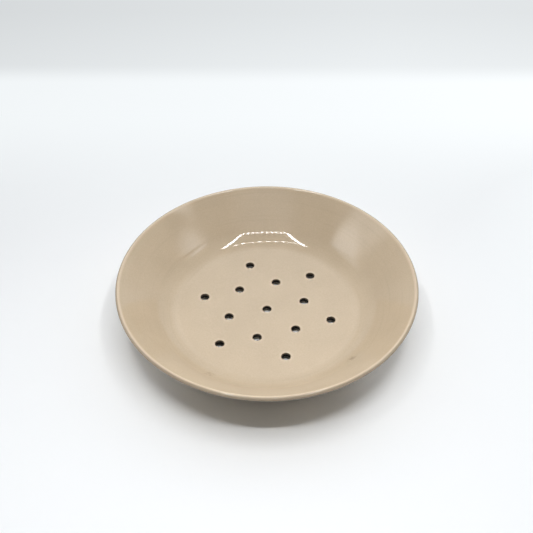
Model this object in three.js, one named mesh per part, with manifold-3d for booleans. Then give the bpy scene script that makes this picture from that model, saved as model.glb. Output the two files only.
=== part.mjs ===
// Berry dish: a shallow round stoneware bowl whose floor is pierced so that washed berries drain.
// The fired clay body is one piece with its turned foot ring. A coat of glaze covers it, lines the
// drain holes and stops a little above the face that the dish stands on.
// Millimetres, +Z up. The origin is the centre of the face that the dish stands on.

import * as THREE from "three";
import { mergeVertices } from "three/addons/utils/BufferGeometryUtils.js";
import Module from "manifold-3d";

const wasm = await Module();
wasm.setup();

// Bowl, measured on the finished glazed surface
const RIM_DIAMETER = 200;
const BOWL_DEPTH = 31; // from the lip down to the middle of the floor
const FLOOR_DIAMETER = 118; // where the floor turns up into the wall
const FLOOR_RISE = 1.5; // how far the floor dishes from its middle to its edge
const FLOOR_THICKNESS = 3.2; // at the middle
const HEEL_RADIUS = 25.5; // the turn from the floor into the straight wall
const WALL_THICKNESS = 4.8; // at the heel, thinning up to the lip
const FOOT_APPROACH = 14; // degrees above level, where the heel's underside runs straight to the foot
const LIP_THICKNESS = 3; // the lip is fully rounded

// Foot ring
const FOOT_HEIGHT = 2.8; // from the ground to the underside of the floor
const FOOT_WIDTH = 5; // at the ground, before its edges are rounded
const FOOT_DRAFT = 14; // degrees that each side of the ring leans from upright
const FOOT_EDGE_RADIUS = 0.6;
const FOOT_FILLET_RADIUS = 1.2; // where the ring joins the underside

// Drain holes: one in the middle and two staggered rings of them
const DRAIN_DIAMETER = 6; // clear width inside the glaze
const DRAIN_EDGE = 0.6; // softened edge at both mouths
const DRAINS_PER_RING = 6;
const INNER_RING_DIAMETER = 54;
const OUTER_RING_DIAMETER = 90;
const DRAIN_TO_FOOT = 6; // floor left between the outer holes and the foot ring

// Glaze
const GLAZE_THICKNESS = 0.35;
const BARE_FOOT = 1; // height of bare clay at the ground

// Facets
const TURN_STEPS = 40; // round the dish, in quarters so that it measures the same both ways
const DRAIN_STEPS = 16; // round a drain hole
const FLOOR_STEPS = 3;
const HEEL_STEPS = 5;
const UNDER_HEEL_STEPS = 3;
const LIP_STEPS = 6;
const FOOT_STEPS = 2; // in each rounded corner of the foot ring

const CUT_MARGIN = 1; // how far a cutter runs past the surface that it cuts

// Heights and radii that follow from the sizes above
const UNDERSIDE = FOOT_HEIGHT;
const FLOOR_TOP = UNDERSIDE + FLOOR_THICKNESS;
const HEIGHT = FLOOR_TOP + BOWL_DEPTH;
const FLOOR_CURVE = ((FLOOR_DIAMETER / 2) ** 2 + FLOOR_RISE ** 2) / (2 * FLOOR_RISE);
const FOOT_INNER = (OUTER_RING_DIAMETER + DRAIN_DIAMETER) / 2 + DRAIN_TO_FOOT;
const FOOT_OUTER = FOOT_INNER + FOOT_WIDTH;

const radians = THREE.MathUtils.degToRad;
const point = (r, z) => new THREE.Vector2(r, z);

// Unit vectors along a surface that climbs outwards at this slope, and straight down into it.
const along = (slope) => point(Math.cos(slope), Math.sin(slope));
const into = (slope) => point(Math.sin(slope), -Math.cos(slope));
const moved = (start, direction, distance) => start.clone().addScaledVector(direction, distance);

// Points of an arc between two angles about a centre, both ends included.
function arc(centre, radius, from, to, steps) {
  return Array.from({ length: steps + 1 }, (_, i) =>
    moved(centre, along(from + ((to - from) * i) / steps), radius),
  );
}

// Sampled points of an arc of the bowl, moved `inset` into the clay. A surface at some slope lies a
// quarter turn below that angle, seen from the arc's centre.
const RIGHT_ANGLE = Math.PI / 2;
function bowlArc({ centre, radius, slope, endSlope }, inset, steps) {
  return arc(centre, radius + inset, slope - RIGHT_ANGLE, endSlope - RIGHT_ANGLE, steps);
}

// A corner of a polyline, rounded by an arc that is tangent to both sides.
function roundedCorner(before, corner, after, radius, steps) {
  const back = before.clone().sub(corner).normalize();
  const ahead = after.clone().sub(corner).normalize();
  const half = Math.acos(back.dot(ahead)) / 2;
  const bisector = back.clone().add(ahead).normalize();
  const centre = moved(corner, bisector, radius / Math.sin(half));
  const reach = radius / Math.tan(half);
  const from = moved(corner, back, reach).sub(centre).angle();
  const turn = moved(corner, ahead, reach).sub(centre).angle() - from;
  const shortTurn = Math.atan2(Math.sin(turn), Math.cos(turn));
  return arc(centre, radius, from, from + shortTurn, steps);
}

// The arcs of the bowl on the finished surface, from the middle of the floor out to the lip and back
// down the outside. Straight walls join heel and lip, so each arc runs into the next with no corner.
function bowlArcs() {
  const floor = {
    radius: FLOOR_CURVE,
    centre: point(0, FLOOR_TOP + FLOOR_CURVE),
    slope: 0,
    endSlope: Math.asin(FLOOR_DIAMETER / 2 / FLOOR_CURVE),
  };
  const heelCentre = moved(floor.centre, into(floor.endSlope), FLOOR_CURVE - HEEL_RADIUS);
  const lipRadius = LIP_THICKNESS / 2;
  const lipCentre = point(RIM_DIAMETER / 2 - lipRadius, HEIGHT - lipRadius);

  // Slope of the straight line whose distance below the lip's centre and above the heel's add up.
  const rise = lipCentre.clone().sub(heelCentre);
  const wallSlope = (offset) => rise.angle() + Math.asin(offset / rise.length());
  const inside = wallSlope(HEEL_RADIUS + lipRadius);
  const outside = wallSlope(HEEL_RADIUS + WALL_THICKNESS - lipRadius);

  return {
    floor,
    heel: { radius: HEEL_RADIUS, centre: heelCentre, slope: floor.endSlope, endSlope: inside },
    lip: {
      radius: lipRadius,
      centre: lipCentre,
      from: inside + RIGHT_ANGLE,
      to: outside - RIGHT_ANGLE,
    },
    underHeel: {
      radius: HEEL_RADIUS + WALL_THICKNESS,
      centre: heelCentre,
      slope: radians(FOOT_APPROACH),
      endSlope: outside,
    },
  };
}

const BOWL = bowlArcs();
const floorHeight = (r) => FLOOR_TOP + FLOOR_CURVE - Math.sqrt(FLOOR_CURVE ** 2 - r ** 2);

// The dish's outline from the middle of the floor, over the lip and round the foot ring, to the
// middle of the underside. It lies `inset` within the glazed surface, and its foot ends at `ground`
// with corners of `edgeRadius`.
function outline({ inset, ground, edgeRadius }) {
  const { floor, heel, lip, underHeel } = BOWL;
  const heelFoot = moved(underHeel.centre, into(underHeel.slope), underHeel.radius - inset);

  // Straight sides of the foot ring: each leans by the draft and is moved in by the inset.
  const lean = Math.tan(radians(FOOT_DRAFT));
  const sideInset = inset / Math.cos(radians(FOOT_DRAFT));
  const outerSide = (z) => point(FOOT_OUTER - sideInset + z * lean, z);
  const innerSide = (z) => point(FOOT_INNER + sideInset - z * lean, z);
  const underside = UNDERSIDE + inset;

  // The heel's underside runs straight down at its last slope until it meets the ring.
  const fall = Math.tan(underHeel.slope);
  const meet = outerSide(
    (heelFoot.y + (FOOT_OUTER - sideInset - heelFoot.x) * fall) / (1 - lean * fall),
  );
  const toes = [outerSide(ground), innerSide(ground)];
  const hollow = innerSide(underside);
  const axis = point(0, underside);
  const fillet = FOOT_FILLET_RADIUS + inset;

  return [
    ...bowlArc(floor, inset, FLOOR_STEPS),
    ...bowlArc(heel, inset, HEEL_STEPS).slice(1),
    ...arc(lip.centre, lip.radius - inset, lip.from, lip.to, LIP_STEPS),
    ...bowlArc(underHeel, -inset, UNDER_HEEL_STEPS).reverse(),
    ...roundedCorner(heelFoot, meet, toes[0], fillet, FOOT_STEPS),
    ...(edgeRadius ? roundedCorner(meet, ...toes, edgeRadius, FOOT_STEPS) : [toes[0]]),
    ...(edgeRadius ? roundedCorner(...toes, hollow, edgeRadius, FOOT_STEPS) : [toes[1]]),
    ...roundedCorner(toes[1], hollow, axis, fillet, FOOT_STEPS),
    axis,
  ];
}

// A closed three.js geometry as a solid that can be cut: only positions are kept, shared vertices
// are merged, and the flat triangles that a turned profile leaves on its axis are dropped.
const MERGE_DISTANCE = 1e-4;
function solidOf(geometry) {
  geometry.deleteAttribute("normal");
  geometry.deleteAttribute("uv");
  const merged = mergeVertices(geometry, MERGE_DISTANCE);
  const corners = merged.index.array;
  const triVerts = [];
  for (let i = 0; i < corners.length; i += 3) {
    const triangle = corners.slice(i, i + 3);
    if (new Set(triangle).size === 3) triVerts.push(...triangle);
  }
  return new wasm.Manifold(
    new wasm.Mesh({
      numProp: 3,
      vertProperties: merged.attributes.position.array,
      triVerts: new Uint32Array(triVerts),
    }),
  );
}

// A profile turned about the Z axis. The profile runs with the material on its right.
function turned(profile, steps) {
  return solidOf(new THREE.LatheGeometry(profile.reverse(), steps).rotateX(RIGHT_ANGLE));
}

// Centres of the drain holes: the middle one, the inner ring, and the outer ring half a step round.
function drainCentres() {
  const ring = (diameter, offset) =>
    Array.from({ length: DRAINS_PER_RING }, (_, i) =>
      along(((i + offset) * 2 * Math.PI) / DRAINS_PER_RING).multiplyScalar(diameter / 2),
    );
  return [point(0, 0), ...ring(INNER_RING_DIAMETER, 0), ...ring(OUTER_RING_DIAMETER, 0.5)];
}

// The solid that cuts one drain hole: a pin whose ends flare at 45 degrees through both faces of the
// floor. Moved `inset` into the clay, it is wider by the inset and its flares start deeper.
function drainCutter(centre, inset) {
  const radius = DRAIN_DIAMETER / 2 + inset;
  const deeper = inset * (Math.SQRT2 - 1);
  const top = floorHeight(centre.length()) - DRAIN_EDGE - deeper;
  const bottom = UNDERSIDE + DRAIN_EDGE + deeper;
  const flare = DRAIN_EDGE + CUT_MARGIN;
  const profile = [
    point(0, top + flare),
    point(radius + flare, top + flare),
    point(radius, top),
    point(radius, bottom),
    point(radius + flare, bottom - flare),
    point(0, bottom - flare),
  ];
  return turned(profile, DRAIN_STEPS).translate([centre.x, centre.y, 0]);
}

// The whole dish at one depth below the glazed surface, with its drain holes.
function piercedDish(shape) {
  return drainCentres().reduce(
    (dish, centre) => dish.subtract(drainCutter(centre, shape.inset)),
    turned(outline(shape), TURN_STEPS),
  );
}

const claySolid = piercedDish({
  inset: GLAZE_THICKNESS,
  ground: 0,
  edgeRadius: FOOT_EDGE_RADIUS,
});
const glazeSolid = piercedDish({ inset: 0, ground: BARE_FOOT, edgeRadius: 0 }).subtract(claySolid);

// A named mesh from a finished solid.
function piece(name, solid, material) {
  const { vertProperties, triVerts } = solid.getMesh();
  const geometry = new THREE.BufferGeometry()
    .setAttribute("position", new THREE.BufferAttribute(vertProperties, 3))
    .setIndex(new THREE.BufferAttribute(triVerts, 1));
  geometry.computeVertexNormals();
  const mesh = new THREE.Mesh(geometry, new THREE.MeshStandardMaterial(material));
  mesh.name = name;
  return mesh;
}

const dish = new THREE.Group();
dish.name = "berry_dish";
dish.add(
  piece("clay_body", claySolid, { color: "#d8cbb4", roughness: 0.85, metalness: 0 }),
  piece("glaze_coat", glazeSolid, { color: "#cfbea6", roughness: 0.12, metalness: 0 }),
);

export default dish;
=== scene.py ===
import math

import bpy
from mathutils import Matrix, Vector


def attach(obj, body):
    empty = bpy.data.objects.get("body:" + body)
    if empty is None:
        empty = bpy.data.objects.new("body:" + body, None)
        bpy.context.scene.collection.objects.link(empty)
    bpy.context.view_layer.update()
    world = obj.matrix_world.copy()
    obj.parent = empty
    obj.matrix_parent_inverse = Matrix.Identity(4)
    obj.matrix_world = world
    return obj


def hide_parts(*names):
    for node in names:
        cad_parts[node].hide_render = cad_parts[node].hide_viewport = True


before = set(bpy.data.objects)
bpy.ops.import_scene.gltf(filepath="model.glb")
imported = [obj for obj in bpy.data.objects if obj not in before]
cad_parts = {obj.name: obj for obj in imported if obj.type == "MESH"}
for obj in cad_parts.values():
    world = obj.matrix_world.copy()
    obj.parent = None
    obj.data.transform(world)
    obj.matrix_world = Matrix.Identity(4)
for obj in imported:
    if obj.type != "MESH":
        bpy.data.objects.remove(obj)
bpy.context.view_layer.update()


# Clay body. The dish itself, thrown in buff stoneware, its foot turned and its floor pierced while
# leather-hard. Floor, wall, lip and foot ring are one piece of clay. The glaze hides all of it but the
# face that it stands on.

MM = 0.001

# The bowl, over the glaze: a nearly flat floor, a round heel, a straight wall and a round lip
RIM_DIAMETER = 199.92 * MM  # 200, less a hair so that the round stays within the solid that it dresses
BOWL_DEPTH = 30.95 * MM  # 31, likewise
FLOOR_DIAMETER = 118 * MM
FLOOR_RISE = 1.5 * MM
FLOOR_THICKNESS = 3.2 * MM
HEEL_RADIUS = 25.5 * MM
WALL_THICKNESS = 4.8 * MM
FOOT_APPROACH = math.radians(14)
LIP_THICKNESS = 3 * MM

# The foot ring
FOOT_HEIGHT = 2.8 * MM
FOOT_INNER = 54 * MM
FOOT_OUTER = 59 * MM
FOOT_DRAFT = math.radians(14)
FOOT_EDGE = 0.6 * MM
FOOT_FILLET = 1.2 * MM

# The drains: one in the middle and two staggered rings, each mouth rounded with a damp sponge
DRAIN_DIAMETER = 6 * MM
DRAIN_EDGE = 0.6 * MM
DRAINS_PER_RING = 6
INNER_RING_DIAMETER = 54 * MM
OUTER_RING_DIAMETER = 90 * MM
PIERCED_RADIUS = 50.5 * MM

GLAZE_THICKNESS = 0.35 * MM
GLAZE_ROLL = 0.2 * MM  # the rounded edge where the coat ends
BARE_FOOT = 1 * MM

FLOOR_TOP = FOOT_HEIGHT + FLOOR_THICKNESS
HEIGHT = FLOOR_TOP + BOWL_DEPTH
FLOOR_CURVE = ((FLOOR_DIAMETER / 2) ** 2 + FLOOR_RISE ** 2) / (2 * FLOOR_RISE)
RIGHT_ANGLE = math.pi / 2

# The mesh: steps round the axis and along each part of the outline, of which a finer piece takes a multiple
TURN_STEPS = 240
FLOOR_STEPS, HEEL_STEPS, WALL_STEPS, LIP_STEPS = 2, 15, 5, 12
OUTER_HEEL_STEPS, FILLET_STEPS, ROLL_STEPS = 9, 4, 3
MERGE = 0.01 * MM


def along(angle):
    """Unit vector at this angle, in the plane of radius and height."""
    return Vector((math.cos(angle), math.sin(angle)))


def into(slope):
    """Unit vector into the clay, under a surface that climbs outwards at this slope."""
    return along(slope - RIGHT_ANGLE)


def arc(centre, radius, start, end, steps):
    """Points of an arc between two angles, both ends included."""
    return [centre + radius * along(start + (end - start) * i / steps) for i in range(steps + 1)]


def straight(start, end, steps):
    """Points between the two ends of a line, without the ends."""
    return [start.lerp(end, i / steps) for i in range(1, steps)]


def rounded(before, corner, after, radius, steps):
    """A corner of a polyline, rounded by an arc that is tangent to both sides."""
    back, ahead = (before - corner).normalized(), (after - corner).normalized()
    half = back.angle(ahead) / 2
    centre = corner + (back + ahead).normalized() * radius / math.sin(half)
    first, last = (corner + side * radius / math.tan(half) - centre for side in (back, ahead))
    start = math.atan2(first.y, first.x)
    turn = math.atan2(last.y, last.x) - start
    return arc(centre, radius, start, start + math.atan2(math.sin(turn), math.cos(turn)), steps)


def dish_outline(inset, fine):
    """The turned outline from the pierced floor, over the lip and round the foot, back to the underside.
    It lies `inset` under the glazed surface. With none it is the glaze's, and ends above the foot's face."""
    floor_centre = Vector((0, FLOOR_TOP + FLOOR_CURVE))
    floor_end = math.asin(FLOOR_DIAMETER / 2 / FLOOR_CURVE)
    floor_start = math.asin(PIERCED_RADIUS / (FLOOR_CURVE + inset))
    heel_centre = floor_centre + into(floor_end) * (FLOOR_CURVE - HEEL_RADIUS)
    heel_outside = HEEL_RADIUS + WALL_THICKNESS
    lip_radius = LIP_THICKNESS / 2
    lip_centre = Vector((RIM_DIAMETER / 2 - lip_radius, HEIGHT - lip_radius))

    # Slopes of the straight faces of the wall, each tangent to the heel's round and to the lip's
    rise = lip_centre - heel_centre
    inside, outside = (math.atan2(rise.y, rise.x) + math.asin(offset / rise.length)
                       for offset in (HEEL_RADIUS + lip_radius, heel_outside - lip_radius))

    lean = math.tan(FOOT_DRAFT)
    side_inset = inset / math.cos(FOOT_DRAFT)

    def outer_side(z):
        return Vector((FOOT_OUTER - side_inset + z * lean, z))

    def inner_side(z):
        return Vector((FOOT_INNER + side_inset - z * lean, z))

    underside = FOOT_HEIGHT + inset
    heel_foot = heel_centre + into(FOOT_APPROACH) * (heel_outside - inset)
    fall = math.tan(FOOT_APPROACH)
    meet = outer_side((heel_foot.y + (FOOT_OUTER - side_inset - heel_foot.x) * fall) / (1 - lean * fall))
    hollow = inner_side(underside)
    rim_of_holes = Vector((PIERCED_RADIUS, underside))
    fillet = FOOT_FILLET + inset

    points = arc(floor_centre, FLOOR_CURVE + inset, floor_start - RIGHT_ANGLE, floor_end - RIGHT_ANGLE,
                 FLOOR_STEPS * fine)
    points += arc(heel_centre, HEEL_RADIUS + inset, floor_end - RIGHT_ANGLE, inside - RIGHT_ANGLE,
                  HEEL_STEPS * fine)
    lip = arc(lip_centre, lip_radius - inset, inside + RIGHT_ANGLE, outside - RIGHT_ANGLE, LIP_STEPS * fine)
    points += straight(points[-1], lip[0], WALL_STEPS * fine) + lip
    heel = arc(heel_centre, heel_outside - inset, outside - RIGHT_ANGLE, FOOT_APPROACH - RIGHT_ANGLE,
               OUTER_HEEL_STEPS * fine)
    points += straight(lip[-1], heel[0], WALL_STEPS * fine) + heel
    points += rounded(heel_foot, meet, outer_side(BARE_FOOT), fillet, FILLET_STEPS * fine)
    if inset:
        points += [outer_side(BARE_FOOT)]
        points += rounded(meet, outer_side(0), inner_side(0), FOOT_EDGE, FILLET_STEPS * fine)
        points += rounded(outer_side(0), inner_side(0), hollow, FOOT_EDGE, FILLET_STEPS * fine)
        points += [inner_side(BARE_FOOT)]
    else:
        roll = BARE_FOOT + GLAZE_ROLL
        thin = Vector((GLAZE_THICKNESS / math.cos(FOOT_DRAFT), 0))
        ends = outer_side(BARE_FOOT) - thin, inner_side(BARE_FOOT) + thin
        points += rounded(meet, outer_side(roll), ends[0], GLAZE_ROLL, ROLL_STEPS * fine) + list(ends)
        points += rounded(ends[1], inner_side(roll), hollow, GLAZE_ROLL, ROLL_STEPS * fine)
    points += rounded(inner_side(BARE_FOOT), hollow, rim_of_holes, fillet, FILLET_STEPS * fine)
    points += [rim_of_holes]
    return [p for p, last in zip(points, [None] + points[:-1]) if last is None or (p - last).length > MERGE]


def add(tree, kind, inputs=None, **settings):
    """Adds one node with its settings. Its inputs, by name or number, take a value or a node's output."""
    node = tree.nodes.new(kind)
    for name, value in settings.items():
        setattr(node, name, value)
    for key, value in (inputs or {}).items():
        for source in value if isinstance(value, list) else [value]:
            source = source.outputs[0] if isinstance(source, bpy.types.Node) else source
            if isinstance(source, bpy.types.NodeSocket):
                tree.links.new(source, node.inputs[key])
            else:
                node.inputs[key].default_value = source
    return node


# The tree turns the outline about Z and closes its floor with a plate on each face, pierced by the drains.
turning = bpy.data.node_groups.new("turned and pierced", "GeometryNodeTree")
for name, kind in (
    ("Outline", "Geometry"), ("Turn Steps", "Int"), ("Floor Top", "Float"), ("Floor Curve", "Float"),
    ("Underside", "Float"), ("Pierced Radius", "Float"), ("Drain Radius", "Float"), ("Drain Edge", "Float"),
    ("Edge Steps", "Int"), ("Drains Per Ring", "Int"), ("Inner Ring Radius", "Float"),
    ("Outer Ring Radius", "Float"), ("Core", "Object"), ("Lower Edge", "Float"), ("Material", "Material"),
):
    turning.interface.new_socket(name, in_out="INPUT", socket_type="NodeSocket" + kind)
turning.interface.new_socket("Dish", in_out="OUTPUT", socket_type="NodeSocketGeometry")
given = add(turning, "NodeGroupInput").outputs

# Turned part: a grid with a row for each point of the outline and a column for each step round the axis
outline_size = add(turning, "GeometryNodeAttributeDomainSize", {0: given["Outline"]}, component="MESH")
rows = outline_size.outputs["Point Count"]
columns = add(turning, "ShaderNodeMath", {0: given["Turn Steps"], 1: 1.0}, operation="ADD")
grid = add(turning, "GeometryNodeMeshGrid", {"Vertices X": columns, "Vertices Y": rows})
index = add(turning, "GeometryNodeInputIndex")
position = add(turning, "GeometryNodeInputPosition")
turns = add(turning, "ShaderNodeMath", {0: index, 1: rows}, operation="DIVIDE")
turns = add(turning, "ShaderNodeMath", {0: turns}, operation="FLOOR")
row = add(turning, "ShaderNodeMath", {0: index, 1: rows}, operation="MODULO")
step_angle = add(turning, "ShaderNodeMath", {0: -2 * math.pi, 1: given["Turn Steps"]}, operation="DIVIDE")
angle = add(turning, "ShaderNodeMath", {0: turns, 1: step_angle}, operation="MULTIPLY")
profile_point = add(turning, "GeometryNodeSampleIndex",
                    {"Geometry": given["Outline"], "Value": position, "Index": row},
                    data_type="FLOAT_VECTOR", domain="POINT")
turned_point = add(turning, "ShaderNodeVectorRotate", {"Vector": profile_point, "Angle": angle},
                   rotation_type="Z_AXIS")
turned = add(turning, "GeometryNodeSetPosition", {"Geometry": grid, "Position": turned_point})

# Drain centres: one point, and two rings of them with the outer one half a step round
FLATTEN = (1, 1, 0)
half_step = add(turning, "ShaderNodeMath", {0: math.pi, 1: given["Drains Per Ring"]}, operation="DIVIDE")
half_turn = add(turning, "ShaderNodeCombineXYZ", {"Z": half_step})
inner_ring = add(turning, "GeometryNodeMeshCircle",
                 {"Vertices": given["Drains Per Ring"], "Radius": given["Inner Ring Radius"]})
outer_ring = add(turning, "GeometryNodeMeshCircle",
                 {"Vertices": given["Drains Per Ring"], "Radius": given["Outer Ring Radius"]})
outer_ring = add(turning, "GeometryNodeTransform", {"Geometry": outer_ring, "Rotation": half_turn})
rings = add(turning, "GeometryNodeJoinGeometry", {0: [inner_ring, outer_ring]})
rings = add(turning, "GeometryNodeMeshToPoints", {0: rings})
centres = add(turning, "GeometryNodeJoinGeometry", {0: [add(turning, "GeometryNodePoints"), rings]})
nearest = add(turning, "GeometryNodeSampleNearest", {"Geometry": centres, "Sample Position": position},
              domain="POINT")
centre = add(turning, "GeometryNodeSampleIndex", {"Geometry": centres, "Value": position, "Index": nearest},
             data_type="FLOAT_VECTOR", domain="POINT")
away = add(turning, "ShaderNodeVectorMath", {0: position, 1: centre}, operation="SUBTRACT")
away = add(turning, "ShaderNodeVectorMath", {0: away, 1: FLATTEN}, operation="MULTIPLY")
outwards = add(turning, "ShaderNodeVectorMath", {0: away}, operation="NORMALIZE")
flat_position = add(turning, "ShaderNodeVectorMath", {0: position, 1: FLATTEN}, operation="MULTIPLY")
from_axis = add(turning, "ShaderNodeVectorMath", {0: flat_position}, operation="LENGTH").outputs["Value"]

# Flat plate with a round hole at each centre, a little wider than the rounded edge that comes next
GUARD = 0.5 * MM
SUBDIVISIONS = 2
HOLE_CORNERS = 12
WHOLE_A, WHOLE_B = 2, 3  # a Compare node's sockets for whole numbers
mouth_radius = add(turning, "ShaderNodeMath", {0: given["Drain Radius"], 1: given["Drain Edge"]},
                   operation="ADD")
guard_radius = add(turning, "ShaderNodeMath", {0: mouth_radius, 1: GUARD}, operation="ADD")
hole = add(turning, "GeometryNodeCurvePrimitiveCircle", {"Resolution": HOLE_CORNERS, "Radius": guard_radius})
holes = add(turning, "GeometryNodeInstanceOnPoints", {"Points": centres, "Instance": hole})
holes = add(turning, "GeometryNodeRealizeInstances", {0: holes})
border_corners = add(turning, "ShaderNodeMath", {0: given["Turn Steps"], 1: 2.0 ** SUBDIVISIONS},
                     operation="DIVIDE")
border = add(turning, "GeometryNodeCurvePrimitiveCircle",
             {"Resolution": border_corners, "Radius": given["Pierced Radius"]})
rims = add(turning, "GeometryNodeJoinGeometry", {0: [border, holes]})
plate = add(turning, "GeometryNodeFillCurve", {0: rims}, mode="TRIANGLES")
plate = add(turning, "GeometryNodeSubdivideMesh", {"Mesh": plate, "Level": SUBDIVISIONS})
faces = add(turning, "GeometryNodeInputMeshEdgeNeighbors")
open_edge = add(turning, "FunctionNodeCompare", {WHOLE_A: faces, WHOLE_B: 1}, data_type="INT",
                operation="EQUAL")
inside_border = add(turning, "ShaderNodeMath", {0: given["Pierced Radius"], 1: GUARD}, operation="SUBTRACT")
at_drain = add(turning, "FunctionNodeCompare", {0: from_axis, 1: inside_border}, data_type="FLOAT",
               operation="LESS_THAN")
drain_edges = add(turning, "FunctionNodeBooleanMath", {0: open_edge, 1: at_drain}, operation="AND")
on_border = add(turning, "ShaderNodeVectorMath", {0: flat_position}, operation="NORMALIZE")
on_border = add(turning, "ShaderNodeVectorMath", {0: on_border, "Scale": given["Pierced Radius"]},
                operation="SCALE")
on_hole = add(turning, "ShaderNodeVectorMath", {0: outwards, "Scale": guard_radius}, operation="SCALE")
on_hole = add(turning, "ShaderNodeVectorMath", {0: centre, 1: on_hole}, operation="ADD")
true_circle = add(turning, "GeometryNodeSwitch", {"Switch": at_drain, "False": on_border, "True": on_hole},
                  input_type="VECTOR")
plate = add(turning, "GeometryNodeSetPosition",
            {"Geometry": plate, "Selection": open_edge, "Position": true_circle})

# Rounded mouths: each pass extrudes the open edges of the holes one step further round a quarter circle
passes = add(turning, "ShaderNodeMath", {0: given["Edge Steps"], 1: 1.0}, operation="ADD")
pass_in = add(turning, "GeometryNodeRepeatInput")
pass_out = add(turning, "GeometryNodeRepeatOutput")
pass_in.pair_with_output(pass_out)
turning.links.new(passes.outputs[0], pass_in.inputs["Iterations"])
turning.links.new(plate.outputs[0], pass_in.inputs["Geometry"])
share = add(turning, "ShaderNodeMath", {0: pass_in.outputs["Iteration"], 1: given["Edge Steps"]},
            operation="DIVIDE")
share = add(turning, "ShaderNodeMath", {0: share, 1: RIGHT_ANGLE}, operation="MULTIPLY")
in_by = add(turning, "ShaderNodeMath", {0: share}, operation="SINE")
in_by = add(turning, "ShaderNodeMath", {0: in_by, 1: given["Drain Edge"]}, operation="MULTIPLY")
ring_radius = add(turning, "ShaderNodeMath", {0: mouth_radius, 1: in_by}, operation="SUBTRACT")
down_to = add(turning, "ShaderNodeMath", {0: share}, operation="COSINE")
down_to = add(turning, "ShaderNodeMath", {0: down_to, 1: 1.0}, operation="SUBTRACT")
down_to = add(turning, "ShaderNodeMath", {0: down_to, 1: given["Drain Edge"]}, operation="MULTIPLY")
down_to = add(turning, "ShaderNodeCombineXYZ", {"Z": down_to})
ring_point = add(turning, "ShaderNodeVectorMath", {0: outwards, "Scale": ring_radius}, operation="SCALE")
ring_point = add(turning, "ShaderNodeVectorMath", {0: ring_point, 1: centre}, operation="ADD")
ring_point = add(turning, "ShaderNodeVectorMath", {0: ring_point, 1: down_to}, operation="ADD")
ring = add(turning, "GeometryNodeExtrudeMesh",
           {"Mesh": pass_in.outputs["Geometry"], "Selection": drain_edges, "Offset Scale": 0.0}, mode="EDGES")
ring_set = add(turning, "GeometryNodeSetPosition",
               {"Geometry": ring, "Selection": ring.outputs["Top"], "Position": ring_point})
turning.links.new(ring_set.outputs[0], pass_out.inputs["Geometry"])
mouths = pass_out.outputs["Geometry"]

# Top plate dished to the floor's curve, the same plate turned over below, and the holes' walls between
rise = add(turning, "ShaderNodeMath", {0: from_axis, 1: from_axis}, operation="MULTIPLY")
rise_from = add(turning, "ShaderNodeMath", {0: given["Floor Curve"], 1: given["Floor Curve"]},
                operation="MULTIPLY")
rise = add(turning, "ShaderNodeMath", {0: rise_from, 1: rise}, operation="SUBTRACT")
rise = add(turning, "ShaderNodeMath", {0: rise}, operation="SQRT")
rise = add(turning, "ShaderNodeMath", {0: given["Floor Curve"], 1: rise}, operation="SUBTRACT")
rise = add(turning, "ShaderNodeMath", {0: rise, 1: given["Floor Top"]}, operation="ADD")
rise = add(turning, "ShaderNodeCombineXYZ", {"Z": rise})
top = add(turning, "GeometryNodeSetPosition", {"Geometry": mouths, "Offset": rise})
drop = add(turning, "ShaderNodeCombineXYZ", {"Z": given["Underside"]})
bottom = add(turning, "GeometryNodeTransform",
             {"Geometry": mouths, "Scale": (1, 1, -1), "Translation": drop})
bottom = add(turning, "GeometryNodeFlipFaces", {0: bottom})
wall_end = add(turning, "ShaderNodeMath", {0: given["Underside"], 1: given["Drain Edge"]}, operation="ADD")
wall_end = add(turning, "ShaderNodeCombineXYZ", {"Z": wall_end})
wall_end = add(turning, "ShaderNodeVectorMath", {0: flat_position, 1: wall_end}, operation="ADD")
walls = add(turning, "GeometryNodeExtrudeMesh",
            {"Mesh": top, "Selection": drain_edges, "Offset Scale": 0.0}, mode="EDGES")
walls_set = add(turning, "GeometryNodeSetPosition",
                {"Geometry": walls, "Selection": walls.outputs["Top"], "Position": wall_end})

# A coat's inner face is the surface of the core that it covers, and both faces stop at the coat's lower edge
core = add(turning, "GeometryNodeObjectInfo", {"Object": given["Core"]})
core_skin = add(turning, "GeometryNodeFlipFaces", {0: core.outputs["Geometry"]})
skins = add(turning, "GeometryNodeJoinGeometry", {0: [turned, core_skin]})
height = add(turning, "ShaderNodeSeparateXYZ", {0: position}).outputs["Z"]
below = add(turning, "FunctionNodeCompare", {0: height, 1: given["Lower Edge"]}, data_type="FLOAT",
            operation="LESS_THAN")
skins = add(turning, "GeometryNodeDeleteGeometry", {"Geometry": skins, "Selection": below}, domain="FACE")

# All of it in one mesh, which also keeps each point's distance from the nearest drain's axis for the glaze
whole = add(turning, "GeometryNodeJoinGeometry", {0: [skins, walls_set, bottom]})
whole = add(turning, "GeometryNodeMergeByDistance", {"Geometry": whole, "Distance": MERGE})
to_drain = add(turning, "ShaderNodeVectorMath", {0: away}, operation="LENGTH").outputs["Value"]
whole = add(turning, "GeometryNodeStoreNamedAttribute",
            {"Geometry": whole, "Name": "to_drain", "Value": to_drain}, data_type="FLOAT", domain="POINT")
whole = add(turning, "GeometryNodeSetShadeSmooth", {0: whole})
whole = add(turning, "GeometryNodeRealizeInstances", {0: whole})
whole = add(turning, "GeometryNodeSetMaterial", {"Geometry": whole, "Material": given["Material"]})
add(turning, "NodeGroupOutput", {"Dish": whole})


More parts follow.
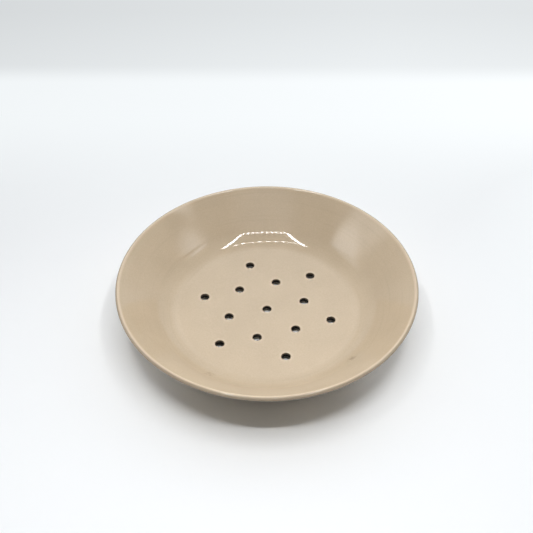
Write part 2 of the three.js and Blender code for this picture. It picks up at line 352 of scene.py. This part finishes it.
def turned_piece(name, inset, fine, edge_steps, lower_edge, material, core=None):
    """A turned and pierced piece that lies `inset` under the glazed surface, as a plain mesh."""
    outline = dish_outline(inset, fine)
    mesh = bpy.data.meshes.new(name + " outline")
    mesh.from_pydata([(p.x, 0, p.y) for p in outline], [(i, i + 1) for i in range(len(outline) - 1)], [])
    piece = bpy.data.objects.new(name, mesh)
    bpy.context.collection.objects.link(piece)
    sizes = {
        "Turn Steps": TURN_STEPS, "Floor Top": FLOOR_TOP - inset, "Floor Curve": FLOOR_CURVE + inset,
        "Underside": FOOT_HEIGHT + inset, "Pierced Radius": PIERCED_RADIUS,
        "Drain Radius": DRAIN_DIAMETER / 2 + inset, "Drain Edge": DRAIN_EDGE - inset,
        "Edge Steps": edge_steps, "Drains Per Ring": DRAINS_PER_RING,
        "Inner Ring Radius": INNER_RING_DIAMETER / 2, "Outer Ring Radius": OUTER_RING_DIAMETER / 2,
        "Core": core, "Lower Edge": lower_edge, "Material": material,
    }
    modifier = piece.modifiers.new("turning", "NODES")
    modifier.node_group = turning
    for socket in turning.interface.items_tree:
        if socket.in_out == "INPUT" and socket.name in sizes:
            modifier[socket.identifier] = sizes[socket.name]
    shape = bpy.data.meshes.new_from_object(piece.evaluated_get(bpy.context.evaluated_depsgraph_get()))
    piece.modifiers.remove(modifier)
    piece.data = shape
    bpy.data.meshes.remove(mesh)
    return piece


def linear(code):
    """An sRGB hex colour as linear RGBA."""
    parts = [int(code[i:i + 2], 16) / 255 for i in (1, 3, 5)]
    return (*(c / 12.92 if c <= 0.04045 else ((c + 0.055) / 1.055) ** 2.4 for c in parts), 1)


def empty_tree(owner):
    """The node tree of a new material or world, without the nodes that it starts with."""
    owner.use_nodes = True
    owner.node_tree.nodes.clear()
    return owner.node_tree


# Buff stoneware, fired and left bare: a dry, even, open surface with a fine sandy tooth and no shine.
CLAY_DARK, CLAY_PALE = linear("#CFC0A6"), linear("#DED1BA")
GROG_GRAIN, GROG_TOOTH = 0.5 * MM, 0.1 * MM
COLOUR_A, COLOUR_B, MIXED = 6, 7, 2  # a Mix node's sockets for colours
clay = bpy.data.materials.new("buff stoneware, bare")
tree = empty_tree(clay)
where = add(tree, "ShaderNodeTexCoord").outputs["Object"]
grain = add(tree, "ShaderNodeTexNoise", {"Vector": where, "Scale": 1 / GROG_GRAIN, "Detail": 2.0})
tone = add(tree, "ShaderNodeMix", {"Factor": grain, COLOUR_A: CLAY_DARK, COLOUR_B: CLAY_PALE},
           data_type="RGBA").outputs[MIXED]
tooth = add(tree, "ShaderNodeBump", {"Strength": 0.35, "Distance": GROG_TOOTH, "Height": grain})
surface = add(tree, "ShaderNodeBsdfPrincipled",
              {"Base Color": tone, "Roughness": 0.85, "IOR": 1.45, "Normal": tooth})
add(tree, "ShaderNodeOutputMaterial", {"Surface": surface})

clay_body = turned_piece("dish_clay", inset=GLAZE_THICKNESS, fine=1, edge_steps=3, lower_edge=-MERGE,
                         material=clay)
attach(clay_body, "root")
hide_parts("clay_body")


# Glaze coat. A glossy warm beige glaze, dipped and fired on to the whole body and down the drain holes. It
# rounds every edge a little, and it was wiped off the foot ring so that the dish would not stick to its
# shelf.

# Gloss glaze over buff clay: a still, glassy beige skin, softly clouded and finely specked. It is pale on
# the lip and round the drains, partly from thin glaze and partly as painted highlight. Painted shade darkens
# the lip's outer edge, and painted shade darkens the inside of the drains, blackest deep down, where the
# glaze is also dull. It shows wheel marks and two small scuffs.
GLAZE_DEEP, GLAZE_PALE, GLAZE_THIN_AND_HIGHLIGHT = linear("#BFAD93"), linear("#C7B59B"), linear("#D8C6AD")
LIP_EDGE_SHADE, MARKS = linear("#93826C"), linear("#857663")
DRAIN_SHADE, DRAIN_DEEP_SHADE = linear("#6A5D4D"), linear("#0E0B08")
CLOUD_SIZE, SPECK_SIZE = 22 * MM, 0.9 * MM
MOTTLE_FROM, MOTTLE_TO = 0.7, 1.3  # of the sum of clouds and specks
GLOSS, DULL = 0.04, 1.0  # roughness out in the open, and deep in a drain
RIPPLE_SIZE, RIPPLE_HEIGHT = 16 * MM, 0.008 * MM
glaze = bpy.data.materials.new("warm beige gloss glaze")
tree = empty_tree(glaze)
where = add(tree, "ShaderNodeTexCoord").outputs["Object"]
x, y, z = add(tree, "ShaderNodeSeparateXYZ", {0: where}).outputs

clouds = add(tree, "ShaderNodeTexNoise", {"Vector": where, "Scale": 1 / CLOUD_SIZE, "Detail": 3.0})
specks = add(tree, "ShaderNodeTexNoise", {"Vector": where, "Scale": 1 / SPECK_SIZE, "Detail": 1.0})
mottle = add(tree, "ShaderNodeMath", {0: clouds, 1: specks}, operation="ADD")
mottle = add(tree, "ShaderNodeMapRange", {"Value": mottle, "From Min": MOTTLE_FROM, "From Max": MOTTLE_TO})
tone = add(tree, "ShaderNodeMix", {"Factor": mottle, COLOUR_A: GLAZE_DEEP, COLOUR_B: GLAZE_PALE},
           data_type="RGBA").outputs[MIXED]

# Wheel marks run round the wall and are fainter on the floor. The scuffs are clusters of short scratches.
WHEEL_PITCH = 1.5 * MM
WHEEL_FROM, WHEEL_TO, WHEEL_MOST = 0.55, 0.8, 0.1
WHEEL_ON_FLOOR, FLOOR_FADE = 0.3, 6 * MM
SCUFFS = ((-52.1 * MM, -49.9 * MM, 12.0 * MM), (38.2 * MM, -63.6 * MM, 13.6 * MM))
SCUFF_REACH = 4.5 * MM
SCRATCHES = 0.45 / MM  # to the metre
SCRATCH_FROM, SCRATCH_TO, SCRATCH_MOST = 0.46, 0.58, 0.6
flat = add(tree, "ShaderNodeCombineXYZ", {"X": x, "Y": y})
radius = add(tree, "ShaderNodeVectorMath", {0: flat}, operation="LENGTH").outputs["Value"]
rings = add(tree, "ShaderNodeMath", {0: radius, 1: WHEEL_PITCH}, operation="DIVIDE")
round_by = add(tree, "ShaderNodeMath", {0: y, 1: x}, operation="ARCTAN2")
wheel = add(tree, "ShaderNodeCombineXYZ", {"X": rings, "Y": round_by})
wheel = add(tree, "ShaderNodeTexNoise", {"Vector": wheel, "Scale": 1.0, "Detail": 2.0})
wheel = add(tree, "ShaderNodeMapRange",
            {"Value": wheel, "From Min": WHEEL_FROM, "From Max": WHEEL_TO, "To Max": WHEEL_MOST})
on_heel = add(tree, "ShaderNodeMapRange",
              {"Value": radius, "From Min": FLOOR_DIAMETER / 2 - FLOOR_FADE,
               "From Max": FLOOR_DIAMETER / 2 + FLOOR_FADE, "To Min": WHEEL_ON_FLOOR})
marks = add(tree, "ShaderNodeMath", {0: wheel, 1: on_heel}, operation="MULTIPLY")
for place in SCUFFS:
    off = add(tree, "ShaderNodeVectorMath", {0: where, 1: place}, operation="DISTANCE").outputs["Value"]
    near = add(tree, "ShaderNodeMapRange",
               {"Value": off, "From Min": 0.0, "From Max": SCUFF_REACH, "To Min": 1.0, "To Max": 0.0})
    scratch = add(tree, "ShaderNodeTexNoise", {"Vector": where, "Scale": SCRATCHES, "Detail": 2.0})
    scratch = add(tree, "ShaderNodeMapRange",
                  {"Value": scratch, "From Min": SCRATCH_FROM, "From Max": SCRATCH_TO,
                   "To Max": SCRATCH_MOST})
    scuff = add(tree, "ShaderNodeMath", {0: near, 1: scratch}, operation="MULTIPLY")
    marks = add(tree, "ShaderNodeMath", {0: marks, 1: scuff}, operation="MAXIMUM")
tone = add(tree, "ShaderNodeMix", {"Factor": marks, COLOUR_A: tone, COLOUR_B: MARKS},
           data_type="RGBA").outputs[MIXED]

# Where each change of tone starts and ends, and how strong it gets
PALE_LIP_FROM, PALE_LIP_TO, PALE_LIP = HEIGHT - LIP_THICKNESS / 2.6, HEIGHT - LIP_THICKNESS / 8, 0.6
DRAIN_RADIUS = DRAIN_DIAMETER / 2
PALE_MOUTH_FROM, PALE_MOUTH_TO, PALE_MOUTH = DRAIN_RADIUS + DRAIN_EDGE, DRAIN_RADIUS + 4 * DRAIN_EDGE, 0.45
EDGE_SHADE_FROM, EDGE_SHADE_TO, EDGE_SHADE = HEIGHT - 2.2 * LIP_THICKNESS, HEIGHT - LIP_THICKNESS, 0.65
OUTWARD_FROM, OUTWARD_TO = RIM_DIAMETER / 2 - 0.55 * LIP_THICKNESS, RIM_DIAMETER / 2 - 0.25 * LIP_THICKNESS
DARK_DRAIN_END = DRAIN_RADIUS + 0.3 * DRAIN_EDGE
DEEP_FROM, DEEP_TO = FLOOR_TOP, FLOOR_TOP - FLOOR_THICKNESS / 2
to_drain = add(tree, "ShaderNodeAttribute", attribute_name="to_drain").outputs["Fac"]
# Paler lip and drain mouths: partly thin glaze, partly painted highlight
at_lip = add(tree, "ShaderNodeMapRange",
             {"Value": z, "From Min": PALE_LIP_FROM, "From Max": PALE_LIP_TO, "To Max": PALE_LIP})
at_drain = add(tree, "ShaderNodeMapRange",
               {"Value": to_drain, "From Min": PALE_MOUTH_FROM, "From Max": PALE_MOUTH_TO,
                "To Min": PALE_MOUTH, "To Max": 0.0})
thin = add(tree, "ShaderNodeMath", {0: at_lip, 1: at_drain}, operation="MAXIMUM")
tone = add(tree, "ShaderNodeMix", {"Factor": thin, COLOUR_A: tone, COLOUR_B: GLAZE_THIN_AND_HIGHLIGHT},
           data_type="RGBA").outputs[MIXED]
# Painted shade darkens the lip's outer edge
high = add(tree, "ShaderNodeMapRange",
           {"Value": z, "From Min": EDGE_SHADE_FROM, "From Max": EDGE_SHADE_TO, "To Max": EDGE_SHADE})
outward = add(tree, "ShaderNodeMapRange",
              {"Value": radius, "From Min": OUTWARD_FROM, "From Max": OUTWARD_TO})
outer_lip_shade = add(tree, "ShaderNodeMath", {0: high, 1: outward}, operation="MULTIPLY")
tone = add(tree, "ShaderNodeMix", {"Factor": outer_lip_shade, COLOUR_A: tone, COLOUR_B: LIP_EDGE_SHADE},
           data_type="RGBA").outputs[MIXED]
# Painted shade inside the drains, darkest deep down, where the glaze is also dull
out_of_drain = add(tree, "ShaderNodeMapRange",
                   {"Value": to_drain, "From Min": DRAIN_RADIUS, "From Max": DARK_DRAIN_END})
depth = add(tree, "ShaderNodeMapRange", {"Value": z, "From Min": DEEP_FROM, "From Max": DEEP_TO})
inside = add(tree, "ShaderNodeMix", {"Factor": depth, COLOUR_A: DRAIN_SHADE, COLOUR_B: DRAIN_DEEP_SHADE},
             data_type="RGBA").outputs[MIXED]
tone = add(tree, "ShaderNodeMix", {"Factor": out_of_drain, COLOUR_A: inside, COLOUR_B: tone},
           data_type="RGBA").outputs[MIXED]

within = add(tree, "ShaderNodeMath", {0: 1.0, 1: out_of_drain}, operation="SUBTRACT")
dull = add(tree, "ShaderNodeMath", {0: within, 1: depth}, operation="MULTIPLY")
dull = add(tree, "ShaderNodeMapRange", {"Value": dull, "To Min": GLOSS, "To Max": DULL})
ripple = add(tree, "ShaderNodeTexNoise", {"Vector": where, "Scale": 1 / RIPPLE_SIZE, "Detail": 1.0})
skin = add(tree, "ShaderNodeBump", {"Strength": 1.0, "Distance": RIPPLE_HEIGHT, "Height": ripple})
surface = add(tree, "ShaderNodeBsdfPrincipled",
              {"Base Color": tone, "Roughness": dull, "IOR": 1.5, "Normal": skin})
add(tree, "ShaderNodeOutputMaterial", {"Surface": surface})

glaze_coat = turned_piece("dish_glaze", inset=0, fine=2, edge_steps=8, lower_edge=BARE_FOOT + MERGE,
                          material=glaze, core=clay_body)
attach(glaze_coat, "root")
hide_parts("glaze_coat")


# Stage. A white sheet under the dish, square to the camera. To the eye and in reflections it whitens towards
# its far edge and all round at a distance. To the sides of the dish painted light lifts the dish's shadow,
# and the sheet is painted a little brighter to the right than to the left, as the light falls. It is clear
# from below, so that the foot can be looked at.

CAMERA_AZIMUTH = math.radians(-16.04)
SHEET_NEAR, SHEET_FAR, SHEET_HALF = -1.2, 0.31, 1.2
PAPER, COOL_WHITE = linear("#F5F7F8"), linear("#F9FDFF")
WHITE_FROM, WHITE_TO = 0.02, 0.26
AROUND_FROM, AROUND_TO = 0.27, 0.70
SIDE_SHADOW_LIFT = (0.040, 0.085, 0.14), (0.080, 0.240, 0.70), (-0.040, -0.085, 0.06)  # from, to, most
LEFT_WHITE, RIGHT_WHITE = 0.94, 1.03
SLANT_HALF = 0.25


def seen_itself(tree):
    """1 for what the camera, a reflection or a clear body shows, and 0 for the light that falls on things."""
    rays = add(tree, "ShaderNodeLightPath").outputs
    seen = add(tree, "ShaderNodeMath", {0: rays["Is Camera Ray"], 1: rays["Is Glossy Ray"]},
               operation="MAXIMUM")
    return add(tree, "ShaderNodeMath", {0: seen, 1: rays["Is Transmission Ray"]}, operation="MAXIMUM")


mesh = bpy.data.meshes.new("paper_sheet")
mesh.from_pydata([(-SHEET_HALF, SHEET_NEAR, 0), (SHEET_HALF, SHEET_NEAR, 0), (SHEET_HALF, SHEET_FAR, 0),
                  (-SHEET_HALF, SHEET_FAR, 0)], [], [(0, 1, 2, 3)])
sheet = bpy.data.objects.new("paper_sheet", mesh)
sheet.rotation_euler.z = CAMERA_AZIMUTH
bpy.context.collection.objects.link(sheet)
paper = bpy.data.materials.new("white paper sheet")
tree = empty_tree(paper)
where = add(tree, "ShaderNodeTexCoord").outputs["Object"]
across, behind, _ = add(tree, "ShaderNodeSeparateXYZ", {0: where}).outputs
surface = add(tree, "ShaderNodeBsdfPrincipled", {"Base Color": PAPER, "Roughness": 0.9, "IOR": 1.3})
slant = add(tree, "ShaderNodeMapRange",
            {"Value": across, "From Min": -SLANT_HALF, "From Max": SLANT_HALF,
             "To Min": LEFT_WHITE, "To Max": RIGHT_WHITE})
white = add(tree, "ShaderNodeEmission", {"Color": COOL_WHITE, "Strength": slant})
whiten = add(tree, "ShaderNodeMapRange", {"Value": behind, "From Min": WHITE_FROM, "From Max": WHITE_TO},
             interpolation_type="SMOOTHSTEP")
off = add(tree, "ShaderNodeVectorMath", {0: where}, operation="LENGTH").outputs["Value"]
around = add(tree, "ShaderNodeMapRange", {"Value": off, "From Min": AROUND_FROM, "From Max": AROUND_TO},
             interpolation_type="SMOOTHSTEP")
whiten = add(tree, "ShaderNodeMath", {0: whiten, 1: around}, operation="MAXIMUM")
# Painted light beside the dish, which lifts its shadow there
for start, full, most in SIDE_SHADOW_LIFT:
    pale = add(tree, "ShaderNodeMapRange",
               {"Value": across, "From Min": start, "From Max": full, "To Max": most},
               interpolation_type="SMOOTHSTEP")
    whiten = add(tree, "ShaderNodeMath", {0: whiten, 1: pale}, operation="MAXIMUM")
whiten = add(tree, "ShaderNodeMath", {0: whiten, 1: seen_itself(tree)}, operation="MULTIPLY")
surface = add(tree, "ShaderNodeMixShader", {0: whiten, 1: surface, 2: white})
below = add(tree, "ShaderNodeNewGeometry").outputs["Backfacing"]
clear = add(tree, "ShaderNodeBsdfTransparent")
surface = add(tree, "ShaderNodeMixShader", {0: below, 1: surface, 2: clear})
add(tree, "ShaderNodeOutputMaterial", {"Surface": surface})
mesh.materials.append(paper)

# Lamps. Four strips in a rectangle overhead give the light and the shadow, but make no reflection of their
# own. What the glaze mirrors instead is a frame of diodes and the tent's bright cloth, which light nothing.

LAMP_HEIGHT = 0.56
LAMP_NEAR, LAMP_FAR, LAMP_HALF = -0.187, 0.05, 0.14
STRIP_WIDTH = 0.02
upright = Matrix.Rotation(CAMERA_AZIMUTH, 4, "Z")
middle = (LAMP_NEAR + LAMP_FAR) / 2
for name, x, y, wide, deep, watts in (
    ("near", 0, LAMP_NEAR, 2 * LAMP_HALF, STRIP_WIDTH, 1.05),
    ("far", 0, LAMP_FAR, 2 * LAMP_HALF, STRIP_WIDTH, 0.17),
    ("left", -LAMP_HALF, middle, STRIP_WIDTH, LAMP_FAR - LAMP_NEAR, 0.53),
    ("right", LAMP_HALF, middle, STRIP_WIDTH, LAMP_FAR - LAMP_NEAR, 0.61),
):
    strip = bpy.data.lights.new(name + "_strip", "AREA")
    strip.shape = "RECTANGLE"
    strip.size, strip.size_y = wide, deep
    strip.energy = watts
    lamp = bpy.data.objects.new(name + "_strip", strip)
    lamp.matrix_world = upright @ Matrix.Translation((x, y, LAMP_HEIGHT))
    lamp.visible_glossy = False
    bpy.context.collection.objects.link(lamp)


def glint(name, mesh):
    """A stage piece that only shows in reflections."""
    piece = bpy.data.objects.new(name, mesh)
    piece.matrix_world = upright
    for ray in ("camera", "diffuse", "shadow", "transmission", "volume_scatter"):
        setattr(piece, "visible_" + ray, False)
    bpy.context.collection.objects.link(piece)


# The lamp as the glaze mirrors it: two dotted rows of diodes between two solid bars
FRAME_CORNERS = ((-0.129, -0.207), (0.158, -0.180), (0.118, 0.156), (-0.106, 0.136))
FAR_ROW = ((-0.095, 0.095), (0.090, 0.152))
NEAR_DIODES, FAR_DIODES = 10, 9
NEAR_SIZE, FAR_SIZE = (0.012, 0.055), (0.008, 0.026)
BAR_WIDTH = 0.018
DIODE_STRENGTH = 32.0
near_left, near_right, far_right, far_left = (Vector(c) for c in FRAME_CORNERS)
quads = []
far_row = (Vector(c) for c in FAR_ROW)
for (start, end), count, (width, depth) in (((near_left, near_right), NEAR_DIODES, NEAR_SIZE),
                                            (far_row, FAR_DIODES, FAR_SIZE)):
    ahead = (end - start).normalized() * width / 2
    across = Vector((-ahead.y, ahead.x)).normalized() * depth / 2
    for i in range(count):
        spot = start.lerp(end, (i + 0.5) / count)
        left, right = spot - ahead, spot + ahead
        quads.append([left - across, right - across, right + across, left + across])
for start, end in ((near_left, far_left), (near_right, far_right)):
    across = Vector((BAR_WIDTH / 2, 0))
    quads.append([start - across, start + across, end + across, end - across])
mesh = bpy.data.meshes.new("diode_frame")
mesh.from_pydata([(c.x, c.y, LAMP_HEIGHT) for quad in quads for c in quad], [],
                 [range(4 * i, 4 * i + 4) for i in range(len(quads))])
lit = bpy.data.materials.new("white diode")
tree = empty_tree(lit)
light = add(tree, "ShaderNodeEmission", {"Strength": DIODE_STRENGTH})
add(tree, "ShaderNodeOutputMaterial", {"Surface": light})
mesh.materials.append(lit)
glint("diode_frame", mesh)

# The tent's cloth, where the lamp brightens it: soft oval patches on the side walls, which climb towards the
# camera, one on the roof behind the lamp and one above the camera
WALL, ROOF = 0, math.radians(90)
GLOW_CORE = 0.35  # share of a patch, from its middle out, that is fully bright
CORNERS = ((-1, -1), (1, -1), (1, 1), (-1, 1))
for name, centre, lean, climb, half_length, half_width, strength in (
    ("right_wall_glow", (0.50, -0.079, 0.438), WALL, 35, 0.26, 0.068, 3.0),
    ("right_high_glow", (0.50, 0.005, 0.635), WALL, -17, 0.20, 0.13, 3.2),
    ("left_wall_glow", (-0.50, 0.071, 0.490), WALL, 42, 0.24, 0.23, 2.2),
    ("left_fold_glow", (-0.49, -0.009, 0.405), WALL, 42, 0.215, 0.06, 3.8),
    ("roof_glow", (0.04, 0.58, 0.56), ROOF, 0, 0.30, 0.24, 1.7),
    ("card_glow", (0.01, -0.345, 0.56), ROOF, 0, 0.12, 0.32, 1.15),
):
    place = Matrix.Translation(centre) @ Matrix.Rotation(-math.radians(climb), 4, "X")
    place = place @ Matrix.Rotation(lean, 4, "Y")
    mesh = bpy.data.meshes.new(name)
    mesh.from_pydata([place @ Vector((0, u * half_length, v * half_width)) for u, v in CORNERS], [],
                     [(0, 1, 2, 3)])
    mesh.uv_layers.new(name="glow").data.foreach_set("uv", [c for corner in CORNERS for c in corner])
    glow = bpy.data.materials.new(name)
    tree = empty_tree(glow)
    patch = add(tree, "ShaderNodeUVMap", uv_map="glow")
    off = add(tree, "ShaderNodeVectorMath", {0: patch}, operation="LENGTH").outputs["Value"]
    fade = add(tree, "ShaderNodeMapRange", {"Value": off, "From Min": GLOW_CORE, "From Max": 1.0},
               interpolation_type="SMOOTHSTEP")
    light = add(tree, "ShaderNodeEmission", {"Strength": strength})
    clear = add(tree, "ShaderNodeBsdfTransparent")
    light = add(tree, "ShaderNodeMixShader", {0: fade, 1: light, 2: clear})
    add(tree, "ShaderNodeOutputMaterial", {"Surface": light})
    mesh.materials.append(glow)
    glint(name, mesh)

# The tent itself. Its light comes from white cloth behind and beside the dish, and little from the front.
TENT_BACK, TENT_FRONT, TENT_SIDES, TENT_LEAN = 0.94, 0.03, 0.29, 0.05
FRONT_END, BACK_START = -0.25, 0.6
TENT_WHITE = linear("#FBFCFF")
world = bpy.data.worlds.new("white tent")
bpy.context.scene.world = world
tree = empty_tree(world)
direction = add(tree, "ShaderNodeTexCoord").outputs["Generated"]
ahead, aside = (
    add(tree, "ShaderNodeVectorMath", {0: direction, 1: upright.to_3x3() @ Vector(axis)},
        operation="DOT_PRODUCT").outputs["Value"]
    for axis in ((0, 1, 0), (1, 0, 0)))
level = add(tree, "ShaderNodeMapRange",
            {"Value": ahead, "From Min": FRONT_END, "From Max": BACK_START,
             "To Min": TENT_FRONT, "To Max": TENT_BACK}, interpolation_type="SMOOTHSTEP")
beside = add(tree, "ShaderNodeMath", {0: aside, 1: aside}, operation="MULTIPLY")
sides = add(tree, "ShaderNodeMath", {0: aside, 1: TENT_LEAN, 2: TENT_SIDES}, operation="MULTIPLY_ADD")
level = add(tree, "ShaderNodeMath", {0: beside, 1: sides, 2: level}, operation="MULTIPLY_ADD")
lighting = add(tree, "ShaderNodeBackground", {"Color": TENT_WHITE, "Strength": level})

# To the eye it is a pale backdrop on all sides, and in reflections one behind that greys towards the camera.
# It meets the sheet's white in a soft fold.
BACKDROP, SIDES = 0.86, 0.45
FOLD = -0.5525  # fall of the eye's line to the fold, for each metre ahead
FOLD_BELOW, FOLD_ABOVE, FOLD_SHADE = 0.012, 0.022, 0.1
AT_FOLD, ABOVE_SHADE = 1.07, 0.95
LEAST_AHEAD = 0.05
# The backdrop is painted a little brighter to the right than to the left, as the light falls
CLOTH_FROM, CLOTH_TO, CLOTH_LEFT, CLOTH_RIGHT = -0.35, 0.15, 0.89, 1.01
GROUND_HALF = 0.305  # carries on the sheet's slant, where the camera sees past its far edge
NUMBER_A, NUMBER_B = 2, 3  # a Mix node's sockets for numbers
eye = add(tree, "ShaderNodeLightPath").outputs["Is Camera Ray"]
up = add(tree, "ShaderNodeSeparateXYZ", {0: direction}).outputs["Z"]
walls = [add(tree, "ShaderNodeMath", {0: way}, operation="ABSOLUTE") for way in (ahead, aside)]
walls = add(tree, "ShaderNodeMath", {0: walls[0], 1: walls[1]}, operation="MAXIMUM")
facing = add(tree, "ShaderNodeMix", {"Factor": eye, NUMBER_A: ahead, NUMBER_B: walls})
reach = add(tree, "ShaderNodeMath", {0: facing, 1: LEAST_AHEAD}, operation="MAXIMUM")
fall = add(tree, "ShaderNodeMath", {0: up, 1: reach}, operation="DIVIDE")
cloth = add(tree, "ShaderNodeMapRange", {"Value": facing, "To Min": SIDES, "To Max": BACKDROP},
            interpolation_type="SMOOTHSTEP")
shade = add(tree, "ShaderNodeMapRange",
            {"Value": fall, "From Min": FOLD, "From Max": FOLD + FOLD_SHADE,
             "To Min": AT_FOLD, "To Max": ABOVE_SHADE})
cloth = add(tree, "ShaderNodeMath", {0: cloth, 1: shade}, operation="MULTIPLY")
above_fold = add(tree, "ShaderNodeMapRange",
                 {"Value": fall, "From Min": FOLD - FOLD_BELOW, "From Max": FOLD + FOLD_ABOVE},
                 interpolation_type="SMOOTHSTEP")
slant = add(tree, "ShaderNodeMapRange",
            {"Value": aside, "From Min": CLOTH_FROM, "From Max": CLOTH_TO,
             "To Min": CLOTH_LEFT, "To Max": CLOTH_RIGHT})
cloth = add(tree, "ShaderNodeMath", {0: cloth, 1: slant}, operation="MULTIPLY")
ground = add(tree, "ShaderNodeMapRange",
             {"Value": aside, "From Min": -GROUND_HALF, "From Max": GROUND_HALF,
              "To Min": LEFT_WHITE, "To Max": RIGHT_WHITE})
shown = add(tree, "ShaderNodeMix", {"Factor": above_fold, NUMBER_A: ground, NUMBER_B: cloth})
showing = add(tree, "ShaderNodeBackground", {"Color": COOL_WHITE, "Strength": shown})
tent = add(tree, "ShaderNodeMixShader", {0: seen_itself(tree), 1: lighting, 2: showing})
add(tree, "ShaderNodeOutputWorld", {"Surface": tent})

# Camera, fitted to the rim's outline and to the drain holes in a picture of 533 by 533 pixels
PICTURE = 533
FOCAL_PIXELS = 737.32
SHIFT_PIXELS = (-0.473, 10.25)
ELEVATION = math.radians(44.067)
DISTANCE = 0.48983
ROLL = math.radians(0.068)
view = bpy.data.cameras.new("camera")
view.sensor_width = 36
view.lens = FOCAL_PIXELS * view.sensor_width / PICTURE
view.shift_x, view.shift_y = (shift / PICTURE for shift in SHIFT_PIXELS)
view.clip_start = 0.01
camera = bpy.data.objects.new("camera", view)
bpy.context.collection.objects.link(camera)
aim = Vector((math.sin(CAMERA_AZIMUTH) * math.cos(ELEVATION),
              -math.cos(CAMERA_AZIMUTH) * math.cos(ELEVATION), math.sin(ELEVATION)))
camera.matrix_world = (Matrix.Translation(Vector((0, 0, HEIGHT)) + aim * DISTANCE)
                       @ aim.to_track_quat("Z", "Y").to_matrix().to_4x4() @ Matrix.Rotation(ROLL, 4, "Z"))
bpy.context.scene.camera = camera
bpy.context.scene.view_settings.view_transform = "Standard"
